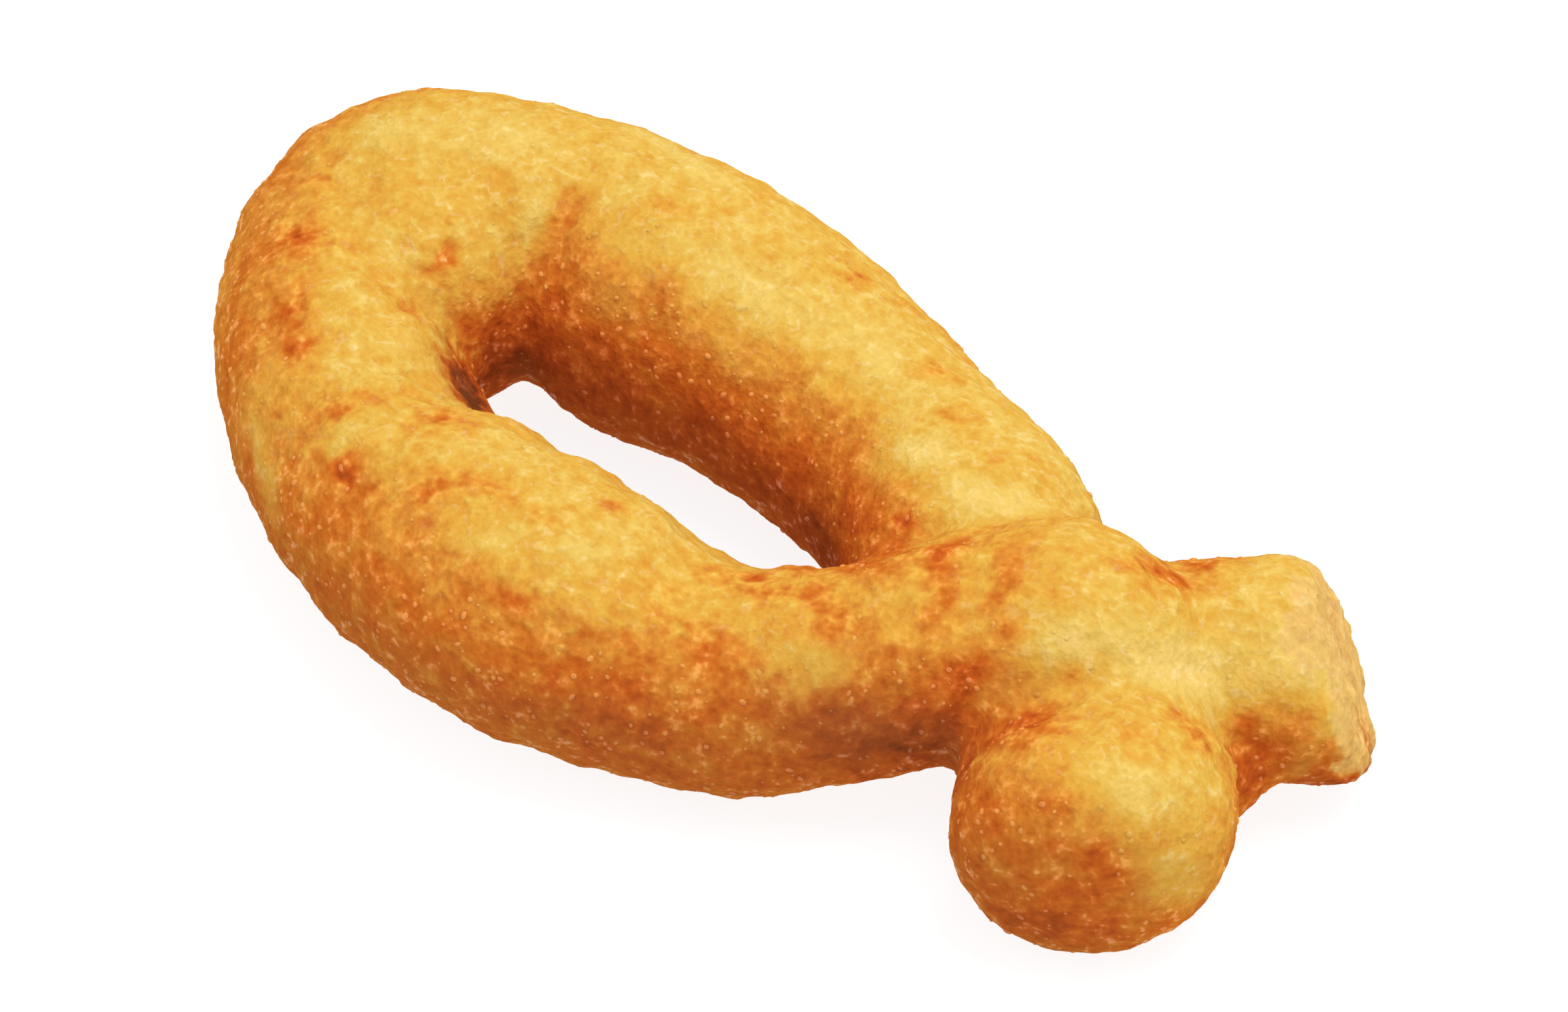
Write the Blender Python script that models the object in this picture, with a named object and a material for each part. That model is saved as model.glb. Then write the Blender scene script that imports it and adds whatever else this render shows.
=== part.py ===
"""Cruller doughnut: one rope of fried dough, laid in a teardrop loop whose two ends cross and fuse.

The rope is walked as a chain of arcs, from the blunt end that lies underneath, round the loop, to
the cut end that lies on top. A ring of points is swept along it, the self-crossing skin is fused
into one body as the dough fuses in the oil, and the underside is pressed flat where it rests.

X runs along the loop, from its bend towards the crossing, and Z is up. The origin is at the middle
of the bounding box, on the surface that the doughnut rests on.
"""

import math
from typing import NamedTuple

import bmesh
import bpy
from mathutils import Matrix, Vector, noise

MM = 0.001  # the sizes below are in millimetres, and the model is in metres


class Stretch(NamedTuple):
    """One arc of the rope: its length, how far it turns left, and the rope where it ends."""

    name: str
    length: float
    turn: float  # degrees
    radius: float
    lift: float  # of the underside above the surface it rests on


class Swell(NamedTuple):
    """A soft bulge on the side of the rope, or a dent where its height is negative."""

    stretch: str
    share: float  # of the way along that stretch
    side: float  # degrees round the rope: 0 is its left side, 90 its top, 180 its right side
    reach_along: float
    reach_round: float
    height: float


class Lobe(NamedTuple):
    """An egg of dough that is bunched up beside the rope and fuses with it."""

    stretch: str
    share: float
    left: float  # of the rope's middle line
    middle_height: float
    reach: float
    half_height: float


class Station(NamedTuple):
    """One place on the rope's middle line."""

    along: float
    middle: Vector
    heading: float
    radius: float


ROPE = (
    Stretch("blunt_end", 8.6, 0, 12.2, 0.0),
    Stretch("under", 11.0, 8, 11.3, 0.0),
    Stretch("under_crossing", 8.5, 37, 10.6, 0.0),
    Stretch("far_foot", 13.7, -22, 11.8, 0.0),
    Stretch("far_neck", 13.5, 17, 11.2, 0.0),
    Stretch("far_arm", 30.3, 22, 13.3, 0.0),
    Stretch("far_shoulder", 22.1, 24, 13.2, 0.0),
    Stretch("kink", 8.6, 84, 11.9, 0.0),
    Stretch("bend_high", 10.8, 19, 12.1, 0.0),
    Stretch("bend_low", 15.3, 22, 11.9, 0.0),
    Stretch("near_shoulder", 22.9, 30, 12.6, 0.0),
    Stretch("near_arm", 16.1, 16, 10.1, 0.3),
    Stretch("near_neck", 12.3, 19, 9.1, 3.8),
    Stretch("climb", 9.5, 7, 9.1, 6.6),
    Stretch("over_crossing", 9.4, -8, 8.9, 9.4),
    Stretch("fall", 8.6, 4, 9.1, 3.2),
    Stretch("landing", 10.0, -7, 9.9, 2.1),
    Stretch("cut_end", 5.2, 0, 9.8, 2.3),
)
START_RADIUS = 12.1
START_HEADING = 122.0  # degrees from +X, of the walk in from the blunt end

SWELLS = (
    Swell("blunt_end", 0.1, -50, 5.0, 8.0, 1.3),
    Swell("under", 0.6, 78, 8.0, 9.0, -2.8),
    Swell("far_arm", 0.9, -30, 8.0, 7.0, 0.6),
    Swell("far_shoulder", 0.3, 50, 3.0, 8.0, -1.6),
    Swell("far_shoulder", 0.5, -15, 4.0, 12.0, -3.2),
    Swell("kink", 0.4, 180, 8.0, 9.0, 1.4),
    Swell("bend_low", 0.1, 20, 7.0, 9.0, -3.0),
    Swell("near_shoulder", 0.1, 50, 5.0, 7.0, -2.0),
    Swell("near_shoulder", 0.8, 50, 6.0, 7.0, -0.6),
    Swell("over_crossing", 0.9, 160, 8.0, 6.0, 2.2),
    Swell("fall", 0.5, 50, 3.2, 5.0, -1.8),
)
LOBES = (
    Lobe("kink", 0.2, 6.8, 13.2, 11.8, 12.2),
    Lobe("landing", 0.3, -8.0, 7.5, 4.5, 6.0),
)
UNEVEN_SIZE = 16.0  # of the gentle unevenness all over
UNEVEN_HEIGHT = 0.45

BLUNT_ROUNDING = 8.0  # the radius of the edge round each end face
CUT_ROUNDING = 2.6
CUT_LEAN = 0.37  # how far the cut face slopes back towards its top
CUT_SKEW = 0.08  # how far it slopes back towards its left side
CUT_BLEND = 12.0  # how far from the cut face its slope is felt

RING_GAP = 1.1  # between two rings of the sweep
RING_POINTS = 32
FUSE_SIZE = 1.0  # the grid on which the crossing strands are fused
SOFTENING = 6  # rounds of smoothing, as the dough has no sharp folds
FACES_KEPT = 0.19  # of the fused faces, where the form is told as well by fewer
FLAT_DEPTH = 0.75  # how much of the rope's underside is pressed flat

GOLD = (0.80, 0.42, 0.09, 1.0)
CRUST_ROUGHNESS = 0.5


def eased(a, b, share):
    """A value that goes from a to b with no slope at either end."""
    return a + (b - a) * share * share * (3 - 2 * share)


def walk():
    """The rope's stations at even gaps, from the blunt end to the cut end."""
    stations = []
    place = Vector((0, 0, 0))
    along, heading = 0.0, math.radians(START_HEADING)
    radius, lift = START_RADIUS, 0.0
    for stretch in ROPE:
        steps = max(2, round(stretch.length / RING_GAP))
        turn = math.radians(stretch.turn) / steps
        for step in range(steps):
            here = eased(radius, stretch.radius, step / steps)
            height = here + eased(lift, stretch.lift, step / steps)
            stations.append(Station(along, place + Vector((0, 0, height)), heading, here))
            along += stretch.length / steps
            way = heading + turn / 2
            place = place + Vector((math.cos(way), math.sin(way), 0)) * stretch.length / steps
            heading += turn
        radius, lift = stretch.radius, stretch.lift
    stations.append(Station(along, place + Vector((0, 0, radius + lift)), heading, radius))
    return stations


def distance_along(name, share):
    """How far along the rope a share of one stretch is."""
    along = 0.0
    for stretch in ROPE:
        if stretch.name == name:
            return along + stretch.length * share
        along += stretch.length
    raise ValueError(name)


def left_of(station):
    """The level direction to the left of the walk."""
    return Vector((-math.sin(station.heading), math.cos(station.heading), 0))


def rounding(distance, edge):
    """How far the rope's side is drawn in at a distance from an end face with a rounded edge."""
    if distance >= edge:
        return 0.0
    return edge - math.sqrt(max(0.0, edge**2 - (edge - distance) ** 2))


def swell_height(station, angle):
    """What the swells add to the rope's radius at one angle round it."""
    total = 0.0
    for swell in SWELLS:
        along = station.along - distance_along(swell.stretch, swell.share)
        around = math.remainder(angle - math.radians(swell.side), math.tau) * station.radius
        distance = (along / swell.reach_along) ** 2 + (around / swell.reach_round) ** 2
        total += swell.height * math.exp(-distance)
    return total


def ring(station, tangent, length):
    """The points of one ring of the sweep, square to the rope."""
    left = left_of(station)
    up = tangent.cross(left)
    to_cut = length - station.along
    slope = (up * CUT_LEAN + left * CUT_SKEW) * eased(1, 0, min(1, to_cut / CUT_BLEND))
    drawn_in = rounding(station.along, BLUNT_ROUNDING) + rounding(to_cut, CUT_ROUNDING)
    points = []
    for i in range(RING_POINTS):
        angle = math.tau * i / RING_POINTS
        out = left * math.cos(angle) + up * math.sin(angle)
        reach = station.radius - drawn_in + swell_height(station, angle)
        point = station.middle + out * reach
        point += out * UNEVEN_HEIGHT * noise.noise(point / UNEVEN_SIZE)
        points.append(point - tangent * slope.dot(point - station.middle))
    return points


def sweep(skin, stations):
    """Adds the rope's skin, which passes through itself where the ends cross."""
    rings = []
    for i, station in enumerate(stations):
        before = stations[max(0, i - 1)].middle
        after = stations[min(len(stations) - 1, i + 1)].middle
        points = ring(station, (after - before).normalized(), stations[-1].along)
        rings.append([skin.verts.new(point) for point in points])
    for first, second in zip(rings, rings[1:]):
        for i in range(RING_POINTS):
            j = (i + 1) % RING_POINTS
            skin.faces.new((first[i], first[j], second[j], second[i]))
    skin.faces.new(reversed(rings[0]))
    skin.faces.new(rings[-1])


def add_lobes(skin, stations):
    """Adds the bunched-up lobes beside the rope."""
    for lobe in LOBES:
        along = distance_along(lobe.stretch, lobe.share)
        station = min(stations, key=lambda s: abs(s.along - along))
        place = station.middle + left_of(station) * lobe.left
        place.z = lobe.middle_height
        size = Matrix.Diagonal((lobe.reach, lobe.reach, lobe.half_height, 1))
        bmesh.ops.create_icosphere(
            skin, subdivisions=4, radius=1.0, matrix=Matrix.Translation(place) @ size
        )


def raw_dough():
    """The rope and its lobes before they fuse, as one mesh in metres."""
    stations = walk()
    skin = bmesh.new()
    sweep(skin, stations)
    add_lobes(skin, stations)
    bmesh.ops.recalc_face_normals(skin, faces=skin.faces)
    bmesh.ops.scale(skin, vec=(MM, MM, MM), verts=skin.verts)
    mesh = bpy.data.meshes.new("dough")
    skin.to_mesh(mesh)
    skin.free()
    return mesh


def fused(dough):
    """The dough as one body: its crossing strands joined, and its folds softened."""
    fuse = dough.modifiers.new("fuse", "REMESH")
    fuse.mode = "VOXEL"
    fuse.voxel_size = FUSE_SIZE * MM
    soften = dough.modifiers.new("soften", "SMOOTH")
    soften.factor = 0.5
    soften.iterations = SOFTENING
    thin = dough.modifiers.new("thin", "DECIMATE")
    thin.ratio = FACES_KEPT
    even = dough.modifiers.new("even", "SMOOTH")
    even.factor = 0.4
    even.iterations = 2
    graph = bpy.context.evaluated_depsgraph_get()
    return bpy.data.meshes.new_from_object(dough.evaluated_get(graph))


def settle(mesh):
    """Presses the underside flat and sets the origin in the middle of the surface under it."""
    lowest = min(v.co.z for v in mesh.vertices) + FLAT_DEPTH * MM
    for vertex in mesh.vertices:
        vertex.co.z = max(0.0, vertex.co.z - lowest)
    sides = [[v.co[axis] for v in mesh.vertices] for axis in range(2)]
    middle = [(min(side) + max(side)) / 2 for side in sides]
    for vertex in mesh.vertices:
        vertex.co.x -= middle[0]
        vertex.co.y -= middle[1]


def crust():
    """The fried crust's material."""
    material = bpy.data.materials.new("crust")
    material.use_nodes = True
    shader = material.node_tree.nodes["Principled BSDF"]
    shader.inputs["Base Color"].default_value = GOLD
    shader.inputs["Roughness"].default_value = CRUST_ROUGHNESS
    shader.inputs["Metallic"].default_value = 0.0
    return material


def main():
    """Builds the doughnut as one object."""
    for old in list(bpy.data.objects):
        bpy.data.objects.remove(old)
    cruller = bpy.data.objects.new("cruller", raw_dough())
    bpy.context.scene.collection.objects.link(cruller)
    mesh = fused(cruller)
    cruller.modifiers.clear()
    settle(mesh)
    cruller.data = mesh
    mesh.materials.append(crust())
    mesh.shade_smooth()


main()
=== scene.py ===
"""The looks of a fried cruller doughnut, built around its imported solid.

One rope of dough is laid in a teardrop loop, and its two ends cross and fuse. Its skin is shaped from
the solid: soft lumps, orange peel, folds where strands meet, and a wrinkled cut end. Small blisters
that the hot oil raised stand on it. X runs from the loop's bend to the crossing, and Z is up.
"""

from __future__ import annotations

import logging
import math
from collections.abc import Mapping, Sequence
from dataclasses import dataclass, field
from enum import Enum
from typing import Any, Union

import bmesh
import bpy
import numpy as np
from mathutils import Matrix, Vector, noise
from mathutils.bvhtree import BVHTree

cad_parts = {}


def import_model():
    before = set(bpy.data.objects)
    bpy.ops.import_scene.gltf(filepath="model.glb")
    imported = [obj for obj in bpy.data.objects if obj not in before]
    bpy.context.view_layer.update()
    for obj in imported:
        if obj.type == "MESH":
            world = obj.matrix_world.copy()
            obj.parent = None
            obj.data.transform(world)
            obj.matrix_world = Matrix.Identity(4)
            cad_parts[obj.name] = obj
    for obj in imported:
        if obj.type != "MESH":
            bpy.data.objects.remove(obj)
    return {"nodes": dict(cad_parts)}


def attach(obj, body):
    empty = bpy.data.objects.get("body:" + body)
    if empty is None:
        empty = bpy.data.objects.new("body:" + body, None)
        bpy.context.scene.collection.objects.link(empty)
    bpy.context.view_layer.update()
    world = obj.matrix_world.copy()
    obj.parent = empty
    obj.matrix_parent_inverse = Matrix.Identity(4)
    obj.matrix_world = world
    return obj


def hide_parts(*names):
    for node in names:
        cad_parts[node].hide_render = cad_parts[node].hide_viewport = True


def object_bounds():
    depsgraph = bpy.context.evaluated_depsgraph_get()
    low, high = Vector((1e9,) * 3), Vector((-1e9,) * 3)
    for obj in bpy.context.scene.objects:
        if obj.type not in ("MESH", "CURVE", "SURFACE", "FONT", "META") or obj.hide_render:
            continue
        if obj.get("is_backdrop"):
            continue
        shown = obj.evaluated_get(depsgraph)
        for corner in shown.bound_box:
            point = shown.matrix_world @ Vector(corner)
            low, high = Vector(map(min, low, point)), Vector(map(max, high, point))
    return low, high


MM = 0.001
LOG = logging.getLogger("cruller")

Point = tuple[float, float, float]
Colour = tuple[float, float, float]
Operand = Union["Value", float]


class Value:
    """A number that a node works out. Arithmetic on it adds Math nodes to its graph."""

    def __init__(self, graph: Graph, socket: bpy.types.NodeSocket) -> None:
        """Wraps an output socket of one of the graph's nodes."""
        self.graph = graph
        self.socket = socket

    def __add__(self, other: Operand) -> Value:
        """self + other."""
        return self.graph.maths("ADD", self, other)

    def __radd__(self, other: Operand) -> Value:
        """other + self."""
        return self.graph.maths("ADD", other, self)

    def __sub__(self, other: Operand) -> Value:
        """self - other."""
        return self.graph.maths("SUBTRACT", self, other)

    def __rsub__(self, other: Operand) -> Value:
        """other - self."""
        return self.graph.maths("SUBTRACT", other, self)

    def __mul__(self, other: Operand) -> Value:
        """self * other."""
        return self.graph.maths("MULTIPLY", self, other)

    def __rmul__(self, other: Operand) -> Value:
        """other * self."""
        return self.graph.maths("MULTIPLY", other, self)

    def __truediv__(self, other: Operand) -> Value:
        """self / other."""
        return self.graph.maths("DIVIDE", self, other)

    def clipped(self) -> Value:
        """The number, held between 0 and 1."""
        return self.graph.maths("MINIMUM", self.graph.maths("MAXIMUM", self, 0.0), 1.0)

    def eased(self, low: float, high: float) -> Value:
        """0 at low and 1 at high, with an S-shaped rise between them."""
        node = self.graph.add(
            "ShaderNodeMapRange",
            {"interpolation_type": "SMOOTHSTEP"},
            {"Value": self, "From Min": low, "From Max": high},
        )
        return Value(self.graph, node.outputs["Result"])


class Graph:
    """A node tree, of a material or of Geometry Nodes, while it is being built."""

    def __init__(self, tree: bpy.types.NodeTree) -> None:
        """Wraps the tree and empties it."""
        self.tree = tree
        self.tree.nodes.clear()

    def add(
        self,
        kind: str,
        settings: Mapping[str, Any] | None = None,
        inputs: Mapping[str, Any] | None = None,
    ) -> bpy.types.Node:
        """Adds one node.

        Args:
            kind: The node's type name.
            settings: Its own settings, which are set first. "stops" are a colour ramp's.
            inputs: Numbers, colours, sockets or Values, by the name or identifier of its sockets.

        Returns:
            The node.
        """
        node = self.tree.nodes.new(kind)
        for name, setting in (settings or {}).items():
            if name == "stops":
                self._set_stops(node.color_ramp, setting)
            else:
                setattr(node, name, setting)
        for name, given in (inputs or {}).items():
            socket = self.socket(node.inputs, name)
            if isinstance(given, Value):
                given = given.socket
            if isinstance(given, bpy.types.NodeSocket):
                self.tree.links.new(given, socket)
            else:
                socket.default_value = given
        return node

    @staticmethod
    def socket(sockets: bpy.types.bpy_prop_collection, name: str) -> bpy.types.NodeSocket:
        """The socket with that identifier, or else with that name."""
        for socket in sockets:
            if socket.identifier == name:
                return socket
        return sockets[name]

    @staticmethod
    def _set_stops(ramp: bpy.types.ColorRamp, stops: Sequence[tuple[float, Colour]]) -> None:
        """Gives a colour ramp its stops, from low to high."""
        while len(ramp.elements) < len(stops):
            ramp.elements.new(1.0)
        for element, (place, colour) in zip(ramp.elements, stops):
            element.position = place
            element.color = (*colour, 1.0)

    def maths(self, operation: str, *operands: Operand) -> Value:
        """Adds one Math node.

        Args:
            operation: The Math node's operation.
            operands: The Values or numbers it works on.

        Returns:
            Its result.
        """
        node = self.add("ShaderNodeMath", {"operation": operation})
        for socket, operand in zip(node.inputs, operands):
            if isinstance(operand, Value):
                self.tree.links.new(operand.socket, socket)
            else:
                socket.default_value = operand
        return Value(self, node.outputs[0])

    def noise(
        self, place: bpy.types.NodeSocket, size: Operand, detail: float = 2.0, warp: float = 0.0
    ) -> Value:
        """Smooth noise about 0, mostly between -0.5 and 0.5.

        Args:
            place: The position socket that it reads.
            size: The size of its features in metres.
            detail: How many finer layers it has.
            warp: How far the layers bend each other.

        Returns:
            The noise at that place.
        """
        scale = 1.0 / size if isinstance(size, float) else self.maths("DIVIDE", 1.0, size)
        node = self.add(
            "ShaderNodeTexNoise",
            {"noise_dimensions": "3D"},
            {"Vector": place, "Scale": scale, "Detail": detail, "Distortion": warp},
        )
        return Value(self, node.outputs[0]) - 0.5

    def dots(self, place: bpy.types.NodeSocket, gap: float, width: float, share: float) -> Value:
        """Soft round dots, 1 at their middles and 0 between them.

        Args:
            place: The position socket that it reads.
            gap: About how far apart they could be, in metres.
            width: From the middle to the rim of a dot, in gaps.
            share: How many of the places hold a dot.

        Returns:
            The dots at that place.
        """
        node = self.add("ShaderNodeTexVoronoi", None, {"Vector": place, "Scale": 1.0 / gap})
        pick = self.add("ShaderNodeSeparateColor", None, {"Color": node.outputs["Color"]})
        here = Value(self, pick.outputs[0]).eased(1.0 - share, 1.0 - share * 0.7)
        return (width - Value(self, node.outputs["Distance"])).eased(0.0, width * 0.7) * here

    def moved(self, place: bpy.types.NodeSocket, step: Any) -> bpy.types.NodeSocket:
        """The place with a step added to it."""
        node = self.add("ShaderNodeVectorMath", {"operation": "ADD"}, {"Vector": place, "Vector_001": step})
        return node.outputs["Vector"]

    def scaled(self, direction: bpy.types.NodeSocket, size: Operand) -> bpy.types.NodeSocket:
        """The direction times a number."""
        node = self.add("ShaderNodeVectorMath", {"operation": "SCALE"}, {"Vector": direction, "Scale": size})
        return node.outputs["Vector"]

    def mixed(self, share: Operand, first: Any, second: Any, blend: str = "MIX") -> bpy.types.NodeSocket:
        """Two colours mixed: the first where share is 0, the second laid over it where it is 1."""
        node = self.add(
            "ShaderNodeMix",
            {"data_type": "RGBA", "blend_type": blend},
            {"Factor_Float": share, "A_Color": first, "B_Color": second},
        )
        return self.socket(node.outputs, "Result_Color")


def opaque(colour: Colour) -> tuple[float, float, float, float]:
    """The colour with a full alpha."""
    return (*colour, 1.0)


def eased(value: np.ndarray, low: float, high: float) -> np.ndarray:
    """0 at low and 1 at high, with an S-shaped rise between them."""
    share = np.clip((value - low) / (high - low), 0.0, 1.0)
    return share * share * (3.0 - 2.0 * share)


class Trait(Enum):
    """What the skin's points carry for the finishes and the blisters."""

    # the frying's brown, with painted light on the side that faces the lamp and painted shade in the hole
    BROWNING_AND_SHADE = "browning_and_shade"
    TOAST = "toast"
    CUT = "cut"
    RELIEF = "relief"
    ROOM = "room"
    # painted shade: how much darker a point is painted where shade falls on it
    SHADE = "shade"


@dataclass(frozen=True)
class Mark:
    """A patch of the skin that is browner or paler, or darker with painted shade, or stands out or sinks in."""

    name: str
    at: Point  # mm from the middle of the surface that the doughnut rests on
    reach: tuple[float, float]  # mm, its half-length and half-width
    turn: float  # degrees from X of its long direction, seen from above
    toast: float  # 1 is well browned, and below 0 is paler than its surroundings
    rise: float = 0.0  # mm that it stands out of the skin
    shade: float = 0.0  # painted shade: how much darker it is, with no change of tone


@dataclass(frozen=True)
class Crease:
    """A furrow in the skin, along a path."""

    name: str
    path: tuple[Point, ...]  # mm from the middle of the surface that the doughnut rests on
    width: float  # mm, from its middle to its side
    depth: float  # mm
    lip: float  # mm that the skin beside it stands out
    # painted shade: how much browner the furrow's middle is painted
    toast: float


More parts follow.
